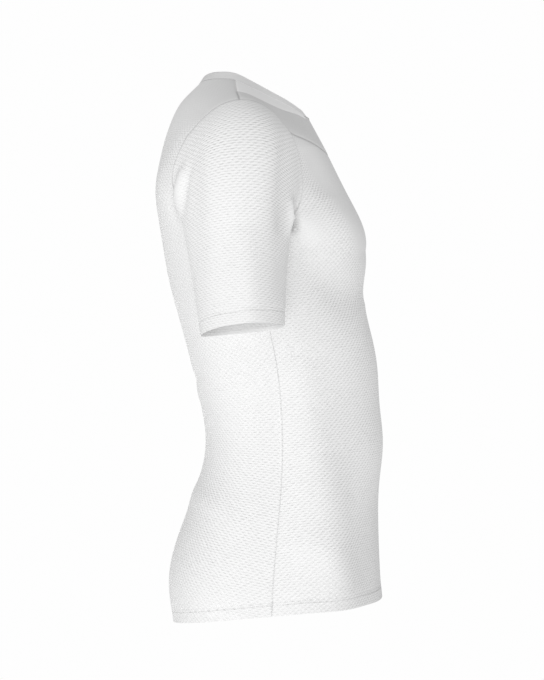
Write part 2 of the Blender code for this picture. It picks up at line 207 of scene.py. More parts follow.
class Cage:
    """The right half's vertices, each under one or more names, and its faces by panel."""

    def __init__(self):
        self.points, self.index, self.faces = [], {}, []

    def put(self, name, point):
        self.index[name] = len(self.points)
        self.points.append(Vector(point))

    def share(self, name, other):
        self.index[name] = self.index[other]

    def at(self, name):
        return self.points[self.index[name]]

    def face(self, panel, *names):
        """The corners run anticlockwise from outside."""
        self.faces.append((panel, [self.index[n] for n in names]))

    def strip(self, panel, run, low, high, first, last):
        """Faces between two levels of a run that goes clockwise round the body from above."""
        for i in range(first, last):
            self.face(panel, (run, low, i), (run, high, i), (run, high, i + 1), (run, low, i + 1))


def build_rows(cage, name, rows, places):
    for level, (row, place) in enumerate(zip(rows, places)):
        for step, point in enumerate(row_points(row, ARMHOLE[place], PIT_FRONT)):
            cage.put((name, level, step), point)


def above_hem(column, height):
    """A point this far above the hem, on the curve through the lowest rings."""
    hem, first, second = hem_point(column), ring_point(TORSO[0], column), ring_point(TORSO[1], column)
    return curve_at(2 * hem - first, hem, first, second, height / (first - hem).length)


def build_torso(cage):
    """Rings from the hem to the armholes' lower edge, then rows up the chest and the back."""
    top = TORSO_TOP
    build_rows(cage, "chest", CHEST_ROWS, (5, 4, 3, 2))
    build_rows(cage, "back", BACK_ROWS, (9, 10, 11, 12))
    for column in range(CENTRE_BACK + 1):
        cage.put(("ring", 0, column), hem_point(column))
        for level, height in enumerate(HEM_RINGS, 1):
            cage.put(("ring", level, column), above_hem(column, height))
        for level, ring in enumerate(TORSO, 1 + len(HEM_RINGS)):
            cage.put(("ring", level, column), ring_point(ring, column))
        if column <= PIT_FRONT:
            cage.share(("ring", top, column), ("chest", 0, column))
        elif column >= PIT_BACK:
            cage.share(("ring", top, column), ("back", 0, CENTRE_BACK - column))
        else:
            cage.put(("ring", top, column), ARMHOLE[FRONT_PIT + column - PIT_FRONT])
    for level in range(top):
        cage.strip("front_body", "ring", level, level + 1, 0, SIDE)
        cage.strip("back_body", "ring", level, level + 1, SIDE, CENTRE_BACK)
    for level in range(TOP_ROW):
        cage.strip("front_body", "chest", level, level + 1, 0, PIT_FRONT)
        cage.strip("back_body", "back", level + 1, level, 0, PIT_FRONT)


def armhole_names(place):
    """The other name of a place on the armhole, if any, and its neighbour's on the body's side."""
    if FRONT_TOP <= place <= FRONT_PIT:
        return ("chest", FRONT_PIT - place, PIT_FRONT), ("chest", FRONT_PIT - place, PIT_FRONT - 1)
    if BACK_PIT <= place <= BACK_TOP:
        return ("back", place - BACK_PIT, PIT_FRONT), ("back", place - BACK_PIT, PIT_FRONT - 1)
    if FRONT_PIT < place < BACK_PIT:
        column = PIT_FRONT + place - FRONT_PIT
        return ("ring", TORSO_TOP, column), ("ring", TORSO_TOP - 1, column)
    spoke = ("back_spoke", SHOULDER - 1) if place > BACK_TOP else ("chest_spoke", SHOULDER - place)
    return None, (*spoke, YOKE_MIDDLE)


def name_armhole(cage):
    for place, point in enumerate(ARMHOLE):
        other = armhole_names(place)[0]
        if other:
            cage.share(("arm", 0, place), other)
        else:
            cage.put(("arm", 0, place), point)


def band_top(neck):
    """The neckband stands on its seam and leans in toward the neck."""
    inward = NECK_AXIS - neck
    inward.z = 0.0
    lean = inward.normalized() * sin(BAND_LEAN) + Vector((0.0, 0.0, cos(BAND_LEAN)))
    return neck + BAND_HEIGHT * lean


def build_spokes(cage, name, spokes, upper_place):
    """From the top row and the armhole in to the neck, and up the neckband."""
    for i, (edge, neck) in enumerate(spokes):
        here, edge, neck = (name + "_spoke", i), Vector(edge), Vector(neck)
        if i <= PIT_FRONT:
            cage.share((*here, OUTER), (name, TOP_ROW, i))
        else:
            cage.share((*here, OUTER), ("arm", 0, upper_place if i < SHOULDER else TIP))
        if i == SHOULDER and name == "back":
            for step in range(YOKE_MIDDLE, BAND_TOP + 1):
                cage.share((*here, step), ("chest_spoke", i, step))
            continue
        outer = cage.at((*here, OUTER))
        below = cage.at((name, TOP_ROW - 1, i)) if i <= PIT_FRONT else 2 * outer - edge
        cage.put((*here, YOKE_MIDDLE), between(below, outer, edge, neck))
        cage.put((*here, EDGE), edge)
        cage.put((*here, PANEL_MIDDLE), between(outer, edge, neck, 2 * neck - edge))
        cage.put((*here, NECK), neck)
        cage.put((*here, BAND_TOP), band_top(neck))


def spoke_panel(name, i, step):
    if step >= NECK:
        return "neckband"
    if name == "back":
        return "back_body"
    return "neck_panel" if step >= EDGE and i >= PANEL_TIP else "front_yoke"


def build_shoulders(cage):
    build_spokes(cage, "chest", CHEST_SPOKES, FRONT_TOP - 1)
    build_spokes(cage, "back", BACK_SPOKES, BACK_TOP + 1)
    for name, turned in (("chest", 0), ("back", 1)):
        for i in range(SHOULDER):
            here, after = (name + "_spoke", i + turned), (name + "_spoke", i + 1 - turned)
            for step in range(BAND_TOP):
                corners = (*here, step), (*here, step + 1), (*after, step + 1), (*after, step)
                cage.face(spoke_panel(name, i, step), *corners)


def cuff_point(place):
    out, ahead = cos(2 * pi * place / PLACES), sin(2 * pi * place / PLACES)
    rise = CUFF_RADIUS * (out * sin(CUFF_TILT_OUT) + ahead * sin(CUFF_TILT_AHEAD))
    rise -= CUFF_DROOP * (0.5 - ahead / 2) ** 4
    return CUFF_CENTRE + Vector((-out * CUFF_RADIUS, -ahead * CUFF_RADIUS, rise))


def build_sleeve(cage):
    """The cap carries on the shoulder's line, the sides come out straighter and the pit folds down."""
    for place in range(PLACES):
        start, end = cage.at(("arm", 0, place)), cuff_point(place)
        onward = (start - cage.at(armhole_names(place)[1])).normalized()
        low = 1 - cos(2 * pi * place / PLACES)  # 0 at the shoulder tip, 1 at the sides, 2 in the pit
        if low < 1:
            lead = CAP_LEAD + (SIDE_LEAD - CAP_LEAD) * low
            onward = onward.lerp(SIDE_OUT, SIDE_SHARE * low)
        else:
            lead = SIDE_LEAD + (PIT_LEAD - SIDE_LEAD) * (low - 1)
            onward = onward.lerp(SIDE_OUT, SIDE_SHARE).lerp(PIT_OUT, low - 1)
        ahead = sin(2 * pi * place / PLACES)
        along = (ARM_UP - Vector((0.0, ARM_WIDENS * ahead, 0.0))).normalized()
        up = along * ARM_REACH * (end - start).length
        shares = [ring / SLEEVE_RINGS for ring in range(1, SLEEVE_RINGS)]
        shares += [1 - height / (3 * up.length) for height in reversed(CUFF_RINGS)] + [1]
        for ring, share in enumerate(shares, 1):
            point = cubic(start, start + onward.normalized() * lead, end + up, end, share)
            cage.put(("arm", ring, place), point)
    for ring in range(LAST_RING):
        near, far = ("arm", ring), ("arm", ring + 1)
        for place in range(PLACES):
            after = (place + 1) % PLACES
            cage.face("sleeve", (*near, place), (*far, place), (*far, after), (*near, after))


def run(bm, cage, names):
    """The cage's edges along a run of named points."""
    points = [bm.verts[cage.index[name]] for name in names]
    return [bm.edges.get(ends) for ends in zip(points, points[1:])]


def cage_mesh(cage, points):
    bm = bmesh.new()
    for point in points:
        bm.verts.new(point)
    bm.verts.ensure_lookup_table()
    for panel, corners in cage.faces:
        bm.faces.new([bm.verts[i] for i in corners]).material_index = PANELS.index(panel)
    sharp = bm.edges.layers.float.new("crease_edge")
    for edge in run(bm, cage, [("arm", 0, place) for place in range(FRONT_PIT, BACK_PIT + 1)]):
        edge[sharp] = PIT_CREASE
    for name in ("chest_spoke", "back_spoke"):
        for edge in run(bm, cage, [(name, i, NECK) for i in range(SHOULDER + 1)]):
            edge[sharp] = 1.0
    for edge in run(bm, cage, [("arm", ring, PIT) for ring in range(LAST_RING + 1)]):
        edge.seam = True
    mesh = bpy.data.meshes.new("cage")
    bm.to_mesh(mesh)
    bm.free()
    return mesh


def added(name, data):
    """A new object in the scene."""
    made = bpy.data.objects.new(name, data)
    bpy.context.scene.collection.objects.link(made)
    return made


def subdivided(mesh, levels=1, mirrored=False):
    """The mesh with more levels of subdivision. Its own points come first."""
    guide = added("guide", mesh)
    if mirrored:
        guide.modifiers.new("Mirror", "MIRROR").merge_threshold = MERGE
    guide.modifiers.new("Subdivision", "SUBSURF").levels = levels
    finer = bpy.data.meshes.new_from_object(guide.evaluated_get(bpy.context.evaluated_depsgraph_get()))
    bpy.data.objects.remove(guide)
    return finer


def standing_proud(cage):
    """The cage's points, moved out by as much as subdivision draws them in."""
    drawn_in = subdivided(cage_mesh(cage, cage.points), SKIN_LEVELS + 1, mirrored=True)
    moved = []
    for point, drawn in zip(cage.points, drawn_in.vertices):
        moved.append(point * 2 - drawn.co)
        if point.x == 0.0:
            moved[-1].x = 0.0
    return moved


# ---- The cloth ----

WALL = 0.0009  # one layer of jersey
BAND_WALL = 0.0022  # folded double
TURN_WALL = 0.0019  # a hem's two layers
SEAM_GAP = 0.0001
EDGE_STEPS = 3  # points round an edge, between outside and inside
SHARPEST = 0.5  # limits how far a sharp corner of a panel is drawn in
HEM_ROWS = (0.0135, 0.0168)  # the hem's two rows of stitching, above its edge
CUFF_ROWS = (0.015, 0.0183)
STITCH_DIPS = (0.0009, 0.0005)  # how deep the two rows sink into the cloth
STITCH_SPREAD = 0.0007
# painted shade along the first row of stitching
STITCH_SHADE = 0.08
TURN_OVER = 0.0016  # how far past the upper row the doubled cloth ends
TURN_FADE = 0.0012
EDGE_FADE = 0.003  # doubled cloth is pressed thin this near its edge or seam
EDGE_REACH = 0.03  # how far from hem, cuffs and neck distances are told
# how wide the painted shade along each seam is
SHADE_SPREAD = 0.0009
SEAM_REACH = 0.006

# Where panels are sewn to each other: how deep and wide the groove is, and how much painted shade darkens
# its bottom.
SEAMS = (
    ("neck_panel", "front_yoke", 0.0007, 0.0016, 0.1),
    ("neck_panel", "back_body", 0.0005, 0.0013, 0.12),
    ("front_yoke", "back_body", 0.0006, 0.0013, 0.14),
    ("front_body", "back_body", 0.0002, 0.001, 0.06),
    ("front_body", "front_yoke", 0.0007, 0.0014, 0.2),
    ("sleeve", "front_body", 0.0004, 0.0012, 0.09),
    ("sleeve", "back_body", 0.0005, 0.0012, 0.19),
    ("sleeve", "front_yoke", 0.0005, 0.0012, 0.14),
    ("neckband", "back_body", 0.0003, 0.0012, 0.05),
    ("neckband", "neck_panel", 0.0002, 0.0012, 0.03),
    ("neckband", "front_yoke", 0.0003, 0.0012, 0.05),
)

# Where a panel's knit is pulled flat, and where painted shading lies on it. y * Y + z * Z says how far a
# point lies
# that way: the knit is loose up to low, and flat by flatness from high on, where painted shade darkens it by
# shade, a painted highlight where shade is below 0.
Taut = namedtuple("Taut", "panel y z low high flatness shade")
FLAT_AND_SHADED_PARTS = (
    Taut("sleeve", 0, 1, -0.6, -0.5, 0.15, 0),
    Taut("sleeve", 0, 1, -0.15, -0.05, 0.3, 0.03),
    Taut("sleeve", 0, -1, 0.19, 0.24, 0, 0.02),
    Taut("back_body", 0, 1, -0.09, -0.05, 0.9, 0.07),
    Taut("back_body", 0, 1, -0.25, -0.16, 0, 0.03),
    Taut("neck_panel", 0, 1, -0.2, -0.1, 0.9, -0.15),
    Taut("neckband", 1, 0, -0.05, 0.03, 0, 0.24),
    Taut("front_body", -0.8, -0.6, 0.43, 0.48, 0, 0.055),
    Taut("front_body", -0.87, 0.49, 0.017, 0.029, 0.85, 0.07),
)
INSIDE_TAUT = 0.6
INSIDE_PAINTED_SHADING = ((-0.048, 0.025), (-0.11, 0.11))  # Y at a sleeve's front and back, and the painted shade inside it there: darker at the back, lighter at the front

# Folds: soft ridges, or troughs where height is below 0, along a line. taut is how far a fold pulls the knit
# flat, and shade is the painted shade along it, a painted highlight where it is below 0. Lengths are in
# millimetres, and the line's points are (Y, Z), or on the back (X, Z). Folds on the sides are a little
# shallower and shifted on the left.
Fold = namedtuple("Fold", "panels height width line taut shade seen", defaults=(0, 0, "sides"))
FRONT, BACK = ("front_body",), ("back_body",)
FOLDS = (
    # along the armhole's front and back
    Fold(SLEEVE, 3.5, 15, ((-54, -62), (-60, -86), (-62, -112), (-62, -138), (-58, -166)), 0, -0.03),
    Fold(SLEEVE + BACK, 3, 14, ((34, -49), (52, -70), (64, -94), (70, -124), (67, -154))),
    # the smooth fold behind the sleeve, and the hollows beside it
    Fold(SLEEVE, 4.5, 6, ((56, -114), (61, -130), (64, -147), (65, -160), (63, -180)), 0.9, -0.02),
    Fold(SLEEVE, -2.6, 3.5, ((49, -114), (53, -130), (56, -147), (58, -164), (60, -182))),
    Fold(SLEEVE + BACK, -3.4, 3.5, ((59, -108), (66, -124), (71, -142), (73, -157), (68, -180)), 0, 0.08),
    # the pinched fold in front of the arm
    Fold(SLEEVE, 5, 4, ((-66, -152), (-66, -167), (-66, -182), (-64, -200)), 0.8, -0.13),
    Fold(SLEEVE, -1.5, 4.5, ((-55, -164), (-55, -174), (-54, -186), (-53, -200)), 0, 0.04),
    Fold(SLEEVE, -0.8, 9, ((-56, -214), (-55, -232), (-54, -252), (-53, -278)), 0.6, 0.07),
    Fold(SLEEVE + FRONT, -4, 3, ((-71, -146), (-72, -160), (-72, -174), (-70, -184), (-66, -196)), 0, 0.19),
    Fold(FRONT, -7, 5, ((-69, -174), (-71, -183), (-73, -192)), 0, 0.3),
    Fold(FRONT, 4, 15, ((-72, -168), (-82, -180), (-92, -193), (-98, -208)), 0.7, -0.01),
    Fold(FRONT, 0.5, 24, ((-78, -172), (-95, -187), (-115, -207), (-135, -228)), 0, -0.04),
    # the chest, and the hollow below it
    Fold(FRONT, 10, 27, ((-80, -148), (-100, -160), (-122, -176), (-142, -194), (-160, -212))),
    Fold(FRONT, -9, 28, ((-74, -224), (-100, -236), (-128, -257), (-160, -282))),
    Fold(FRONT, -4, 17, ((-92, -84), (-99, -104), (-104, -126), (-106, -150))),
    # the body's front corner
    Fold(FRONT, 10, 34, ((-93, -332), (-88, -391), (-95, -475), (-105, -559), (-116, -640), (-128, -720))),
    Fold(FRONT, 4, 20, ((-55, -560), (-100, -569), (-124, -605), (-139, -665))),
    Fold(FRONT, 6, 22, ((-112, -450), (-117, -520), (-122, -590), (-128, -640))),
    # the seat
    Fold(BACK, 3, 18, ((78, -503), (45, -514), (8, -530))),
    # the sleeve's front corner
    Fold(SLEEVE, 5, 18, ((-14, -186), (-19, -240), (-23, -310))),
    # the small of the back
    Fold(BACK, -1.6, 7, ((-92, -357), (-40, -366), (20, -368), (84, -358)), seen="back"),
    Fold(BACK, 1, 9, ((-70, -380), (0, -389), (66, -383)), seen="back"),
)
VIEWS = {"right": (0, -1), "left": (0, 1), "back": (1, 1)}  # the axis and the direction that each side faces
FOLD_FACING = 3.0  # how soon folds fade where the cloth turns away from their side
FOLD_END = 0.02  # the share of its length at either end where it stays level
FOLD_POWER = 0.7  # how blunt its ends are: less is blunter
LINE_STEPS = 6  # between two points of a fold's line
LEFT_SHARE = 0.85  # how deep a fold is on the left
LEFT_SHIFT = (0.003, -0.004)  # and how far it is shifted, along Y and Z


def unit(vectors):
    return vectors / np.linalg.norm(vectors, axis=-1, keepdims=True)


def bell(distance, width):
    return np.exp(-((distance / width) ** 2))


def edges_of(corners):
    """The faces' edges as pairs of points, in the faces' own direction."""
    return np.stack([corners, np.roll(corners, -1, axis=1)], axis=2).reshape(-1, 2)


def open_rim(corners):
    """The faces' open rim: each edge's two points, and the face and corner that start it."""
    edges = edges_of(corners)
    _, first, uses = np.unique(np.sort(edges), axis=0, return_index=True, return_counts=True)
    alone = first[uses == 1]
    return edges[alone], alone // 4, alone % 4


def areas(quads):
    """The areas of flat quads, in 3-D or 2-D."""
    first, second = quads[:, 2] - quads[:, 0], quads[:, 3] - quads[:, 1]
    squares = (first**2).sum(axis=1) * (second**2).sum(axis=1) - (first * second).sum(axis=1) ** 2
    return np.sqrt(np.maximum(squares, 0)) / 2


def read(items, name, width, kind=float):
    """One property of all the items, as an array."""
    values = np.zeros(len(items) * width, np.float32 if kind is float else np.int32)
    items.foreach_get(name, values)
    values = values.astype(kind)
    return values.reshape(-1, width) if width > 1 else values


class Skin:
    """A mesh's points, faces, panels and flat layout, as arrays."""

    def __init__(self, mesh):
        self.mesh = mesh
        self.points = read(mesh.vertices, "co", 3)
        self.normals = read(mesh.vertices, "normal", 3)
        self.corners = read(mesh.loops, "vertex_index", 1, int).reshape(-1, 4)
        self.panel = read(mesh.polygons, "material_index", 1, int)
        self.flat = read(mesh.uv_layers["cloth"].data, "uv", 2).reshape(-1, 4, 2)

    def faces_of(self, panel, side=0):
        chosen = self.panel == PANELS.index(panel)
        if side:
            chosen &= self.points[self.corners, 0].mean(axis=1) * side > 0
        return np.flatnonzero(chosen)

    def points_of(self, *panels):
        """True at every point of these panels."""
        uses = np.zeros(len(self.points), bool)
        for panel in panels:
            uses[self.corners[self.faces_of(panel)]] = True
        return uses

    def reshape(self, points):
        self.points = points
        self.mesh.vertices.foreach_set("co", points.astype(np.float32).ravel())
        self.mesh.update()
        self.normals = read(self.mesh.vertices, "normal", 3)


def unwrap(mesh):
    """Spreads the panels flat in the layer cloth, cut at the seams."""
    guide = added("guide", mesh)
    mesh.uv_layers.new(name="cloth")
    bm = bmesh.new()
    bm.from_mesh(mesh)
    for edge in bm.edges:
        if len({face.material_index for face in edge.link_faces}) > 1:
            edge.seam = True
    bm.to_mesh(mesh)
    bm.free()
    bpy.context.view_layer.objects.active = guide
    guide.select_set(True)
    bpy.ops.object.mode_set(mode="EDIT")
    bpy.ops.mesh.select_all(action="SELECT")
    bpy.ops.uv.unwrap(method="CONFORMAL", margin=0.0)
    bpy.ops.object.mode_set(mode="OBJECT")
    bpy.data.objects.remove(guide)


def lay_flat(mesh):
    """Lays every panel flat at its real size, with its grain upright."""
    unwrap(mesh)
    skin = Skin(mesh)
    for panel in PANELS:
        for side in (-1, 1) if panel in ONE_A_SIDE else (0,):
            faces = skin.faces_of(panel, side)
            solid, flat = skin.points[skin.corners[faces]], skin.flat[faces]
            flat = flat.reshape(-1, 2) * np.sqrt(areas(solid).sum() / areas(flat).sum())
            heights = solid.reshape(-1, 3)[:, 2]
            plane = np.linalg.lstsq(np.column_stack([flat, np.ones(len(flat))]), heights, rcond=None)[0]
            across, up = plane[:2] / np.hypot(*plane[:2])
            flat = flat @ np.array([[up, across], [-across, up]])
            skin.flat[faces] = (flat - flat.min(axis=0)).reshape(-1, 4, 2)
    lay_band(skin)
    mesh.uv_layers["cloth"].data.foreach_set("uv", skin.flat.astype(np.float32).ravel())


def lay_band(skin):
    """The neckband is a straight strip: along its seam, and up from it."""
    faces = skin.faces_of("neckband")
    corners = skin.corners[faces]
    seam = np.unique(corners[np.isin(corners, np.delete(skin.corners, faces, axis=0))])
    turns = np.arctan2(skin.points[:, 0] - NECK_AXIS.x, skin.points[:, 1] - NECK_AXIS.y)
    seam = seam[np.argsort(turns[seam])]
    closed = skin.points[np.append(seam, seam[0])]
    along = np.append(0, np.cumsum(np.linalg.norm(np.diff(closed, axis=0), axis=1)))
    places = np.append(turns[seam], turns[seam[0]] + 2 * pi)
    here = turns[corners]
    here = np.where((here.max(axis=1) - here.min(axis=1) > pi)[:, None] & (here < 0), here + 2 * pi, here)
    foot = np.stack([np.interp(here, places, closed[:, i]) for i in range(3)], axis=-1)
    skin.flat[faces, :, 0] = np.interp(here, places, along)
    skin.flat[faces, :, 1] = np.linalg.norm(skin.points[corners] - foot, axis=2)


def distance_to(points, targets, reach):
    """How far each point is from the nearest target, or reach if that is more."""
    tree = kdtree.KDTree(len(targets))
    for i, target in enumerate(targets):
        tree.insert(target, i)
    tree.balance()
    low, high = targets.min(axis=0) - reach, targets.max(axis=0) + reach
    result = np.full(len(points), reach)
    for i in np.flatnonzero(((points > low) & (points < high)).all(axis=1)):
        result[i] = min(reach, tree.find(points[i])[2])
    return result


def edge_distance(skin, panels, top):
    """Each point's distance from the open edge of these panels below this height."""
    faces = np.concatenate([skin.faces_of(panel) for panel in panels])
    ends = skin.points[np.sort(open_rim(skin.corners[faces])[0])]
    ends = ends[ends[:, :, 2].mean(axis=1) < top]
    targets = np.concatenate([ends[:, 0] * (1 - t) + ends[:, 1] * t for t in (0, 0.25, 0.5, 0.75)])
    return distance_to(skin.points, targets, EDGE_REACH)


def beside_line(flat, line):
    """Each point's distance from a line, and how far along it the nearest place is, 0 to 1."""
    nearest, place, gone = np.full(len(flat), np.inf), np.zeros(len(flat)), 0.0
    for start, end in zip(line, line[1:]):
        step, length = end - start, np.linalg.norm(end - start)
        share = np.clip((flat - start) @ step / length**2, 0, 1)
        distance = np.linalg.norm(flat - start - share[:, None] * step, axis=1)
        place = np.where(distance < nearest, gone + share * length, place)
        nearest = np.minimum(distance, nearest)
        gone += length
    return nearest, place / gone


def smooth_line(points):
    """A line through the points, given in millimetres, rounded between them."""
    points = [Vector((a / 1000, b / 1000)) for a, b in points]
    ends = [2 * points[0] - points[1], *points, 2 * points[-1] - points[-2]]
    line = [curve_at(*ends[i:i + 4], step / LINE_STEPS) for i in range(len(points) - 1)
            for step in range(LINE_STEPS)]
    return np.array([*line, points[-1]])


def fold_marks(skin):
    """How far the folds push each point out, how flat they pull the knit, and how much painted shade they
    add, which is painted highlight where it is below 0.
    """
    push, taut, painted_shading = (np.zeros(len(skin.points)) for _ in range(3))
    for fold in FOLDS:
        line, used = smooth_line(fold.line), skin.points_of(*fold.panels)
        for view in ("right", "left") if fold.seen == "sides" else (fold.seen,):
            axis, sign = VIEWS[view]
            left = view == "left"
            seen = skin.points[:, (1 - axis, 2)]
            distance, place = beside_line(seen, line + LEFT_SHIFT if left else line)
            facing = np.clip(0.5 + sign * skin.normals[:, axis] * FOLD_FACING, 0, 1)
            taper = np.sin(pi * np.clip(place, FOLD_END, 1 - FOLD_END)) ** FOLD_POWER
            share = used * bell(distance, fold.width / 1000) * taper * facing
            push += fold.height / 1000 * (LEFT_SHARE if left else 1) * share
            taut = np.maximum(taut, fold.taut * share)
            # painted shade along the fold, painted highlight where shade is below 0
            painted_shading += fold.shade * share
    for part in FLAT_AND_SHADED_PARTS:
        reach = part.y * skin.points[:, 1] + part.z * skin.points[:, 2]
        share = np.clip((reach - part.low) / (part.high - part.low), 0, 1) * skin.points_of(part.panel)
        taut = np.maximum(taut, part.flatness * share)
        # painted shade over part of a panel, painted highlight where shade is below 0
        painted_shading += part.shade * share
    return push, taut, painted_shading


def seam_marks(skin):
    """How far the seams pull each point in, and how much painted shade darkens it along them."""
    push = painted_shading = np.zeros(len(skin.points))
    for panel, other, depth, width, shade in SEAMS:
        shared = skin.points_of(panel) & skin.points_of(other)
        distance = distance_to(skin.points, skin.points[shared], SEAM_REACH)
        push = np.minimum(push, -depth * bell(distance, width))
        # painted shade along the seam's groove
        painted_shading = np.maximum(painted_shading, shade * bell(distance, SHADE_SPREAD))
    return push, painted_shading


def into_panel(points, normals, rim):
    """For each rim point, the step that leads one unit into the panel."""
    found = {}
    for ends, direction in zip(rim, unit(points[rim[:, 1]] - points[rim[:, 0]])):
        for point in ends:
            found.setdefault(point, []).append(unit(np.cross(normals[point], direction)))
    return {point: (steps[0] + steps[-1]) / max(1 + steps[0] @ steps[-1], SHARPEST)
            for point, steps in found.items()}


def shell(name, fine, coarse, panel, side, wall, marks):
    """One panel: the fine skin outside, a rounded edge, and the coarse skin inside it.

    The points come in layers, each with one for every point of the fine skin: the outside, the steps round
    the edge, and the inside. Only those that a face uses are kept.
    """
    faces_out, faces_in = fine.faces_of(panel, side), coarse.faces_of(panel, side)
    rim, rim_face, rim_corner = open_rim(fine.corners[faces_out])
    shared = np.zeros(len(fine.points), bool)
    shared[np.delete(fine.corners, faces_out, axis=0)] = True
    count, inside = len(fine.points), EDGE_STEPS + 1
    layers = np.stack([fine.points] * inside + [fine.points - fine.normals * wall[:, None]])
    for v, step in into_panel(fine.points, fine.normals, rim).items():
        half, normal = wall[v] / 2, fine.normals[v]
        middle = fine.points[v] - normal * half + step * (half + SEAM_GAP / 2 * shared[v])
        for layer in range(inside + 1):
            angle = pi * layer / inside
            layers[layer, v] = middle + half * (normal * cos(angle) - step * sin(angle))
    # In the flat layout, the steps round the edge lie outward of the rim.
    flat_ends = np.stack([fine.flat[faces_out[rim_face], (rim_corner + i) % 4] for i in (0, 1)], axis=1)
    ahead = unit(flat_ends[:, 1] - flat_ends[:, 0])
    outward = np.column_stack([ahead[:, 1], -ahead[:, 0]]) * (wall[rim[:, 0]] / 2 * pi / inside)[:, None]
    ring_flats = [flat_ends + outward[:, None] * step for step in range(inside)]
    quads = [fine.corners[faces_out], coarse.corners[faces_in][:, ::-1] + inside * count]
    flats = [fine.flat[faces_out], coarse.flat[faces_in][:, ::-1]]
    for near in range(EDGE_STEPS):
        quads.append(np.hstack([rim[:, ::-1] + near * count, rim + (near + 1) * count]))
        flats.append(np.hstack([ring_flats[near][:, ::-1], ring_flats[near + 1]]))
    # The inside has every other point of the rim, so the last step's faces have five corners.
    starts = np.flatnonzero(np.isin(rim[:, 0], coarse.corners[faces_in]))
    rim_edge_at = np.zeros(count, int)
    rim_edge_at[rim[:, 0]] = np.arange(len(rim))
    follow = rim_edge_at[rim[starts, 1]]
    start, middle, end = rim[starts, 0], rim[starts, 1], rim[follow, 1]
    fives = np.column_stack([end, middle, start, start + count, end + count]) + EDGE_STEPS * count
    (flat_start, flat_middle), flat_end = ring_flats[-1][starts].swapaxes(0, 1), ring_flats[-1][follow, 1]
    beyond = outward[starts]
    five_flats = [flat_end, flat_middle, flat_start, flat_start + beyond, flat_end + beyond]
    quads = np.concatenate(quads)
    used, place = np.unique(np.concatenate([quads.ravel(), fives.ravel()]), return_inverse=True)
    faces = place[:quads.size].reshape(-1, 4).tolist() + place[quads.size:].reshape(-1, 5).tolist()
    flats = np.concatenate([part.reshape(-1, 2) for part in (*flats, np.stack(five_flats, axis=1))])
    piece = piece_from(name, layers.reshape(-1, 3)[used], faces, flats)
    for mark, (values, within) in marks.items():
        spread = np.concatenate([values] * inside + [within])[used]
        attribute = piece.data.attributes.new(mark, "FLOAT", "POINT")
        attribute.data.foreach_set("value", spread.astype(np.float32))
    return piece


def piece_from(name, points, faces, flats=None):
    mesh = bpy.data.meshes.new(name)
    mesh.from_pydata(points, [], faces)
    if flats is not None:
        mesh.uv_layers.new(name="cloth").data.foreach_set("uv", flats.astype(np.float32).ravel())
    mesh.shade_smooth()
    return added(name, mesh)


# ---- The stitching ----

STITCH_PITCH = 0.0031
STITCH_LENGTH = 0.0023
STITCH_WIDTH = 0.0005
STITCH_HEIGHT = 0.0003


def row_line(skin, faces, distance, row, centre, facing):
    """Points and normals where the cloth is this far from its edge, in order round centre. facing is the
    direction of the row's middle."""
    a, b = np.unique(np.sort(edges_of(skin.corners[faces])), axis=0).T
    crossed = (distance[a] - row) * (distance[b] - row) < 0
    a, b = a[crossed], b[crossed]
    share = ((distance[a] - row) / (distance[a] - distance[b]))[:, None]
    points = skin.points[a] * (1 - share) + skin.points[b] * share
    normals = skin.normals[a] * (1 - share) + skin.normals[b] * share
    off = points[:, :2] - centre
    order = np.argsort(np.arctan2(off @ (-facing[1], facing[0]), off @ facing))
    return points[order], normals[order]


def stitch_shape():
    """One stitch as a unit ball's points and faces, its poles along Z."""
    bm = bmesh.new()
    bmesh.ops.create_uvsphere(bm, u_segments=8, v_segments=6, radius=1)
    points, faces = np.array([v.co for v in bm.verts]), [[v.index for v in face.verts] for face in bm.faces]
    bm.free()
    return points, faces


def followed(values, gone, places):
    """A line's values at these distances along it."""
    return np.column_stack([np.interp(places, gone, values[:, i]) for i in range(3)])


def stitches(name, rows, closed):
    """Rows of stitches, each a short thread that dips into the cloth at both ends."""
    shape, shape_faces = stitch_shape()
    made = []
    for line, normals in rows:
        if closed:
            line, normals = np.vstack([line, line[:1]]), np.vstack([normals, normals[:1]])
        gone = np.append(0, np.cumsum(np.linalg.norm(np.diff(line, axis=0), axis=1)))
        count = round(gone[-1] / STITCH_PITCH)
        where = (np.arange(count) + 0.5) * gone[-1] / count
        behind, ahead = (followed(line, gone, where + i * STITCH_LENGTH / 3) for i in (-1, 1))
        forward, up = unit(ahead - behind), unit(followed(normals, gone, where))
        side = np.cross(up, forward)
        axes = [side * STITCH_WIDTH / 2, up * STITCH_HEIGHT, forward * STITCH_LENGTH / 2]
        made.append(followed(line, gone, where)[:, None] + shape @ np.stack(axes, axis=1))
    points = np.concatenate(made).reshape(-1, 3)
    starts = range(0, len(points), len(shape))
    return piece_from(name, points, [[v + start for v in face] for start in starts for face in shape_faces])


# ---- Materials ----

# A knit: its grey, the repeat of its staggered humps across and up, the height of the humps and of the ribs
# between their rows, how much painted shade darkens the hollows, and the depth of the fine wales.
Knit = namedtuple("Knit", "grey across up hump rib shade wale")
PLAIN = (0.0016, 0.0022, 0.00001, 0.00001, 0.03, 0.00002)
KNITS = {
    "jersey": Knit(0.845, 0.0073, 0.00585, 0.00027, 0.00017, 0.015, 0.00003),
    "yoke_jersey": Knit(0.755, *PLAIN),
    "band_jersey": Knit(0.85, *PLAIN),
}
WALE = 0.00085  # between neighbouring columns of stitches
SLOPE_STEP = 0.00015  # over which the relief's slopes are taken
UNEVEN = 0.55  # how far the repeat strays across, as a share of its width
UNEVEN_UP = 0.4  # and up, as a share of that
UNEVEN_SCALE = 120  # of the noise behind it
GRAIN = 0.0015  # across the irregular loops
GRAIN_HEIGHT = 0.0004
CLOUD_SCALE = 14  # of the colour's soft unevenness
CLOUD = 0.05  # how strong that is, from darkest to lightest
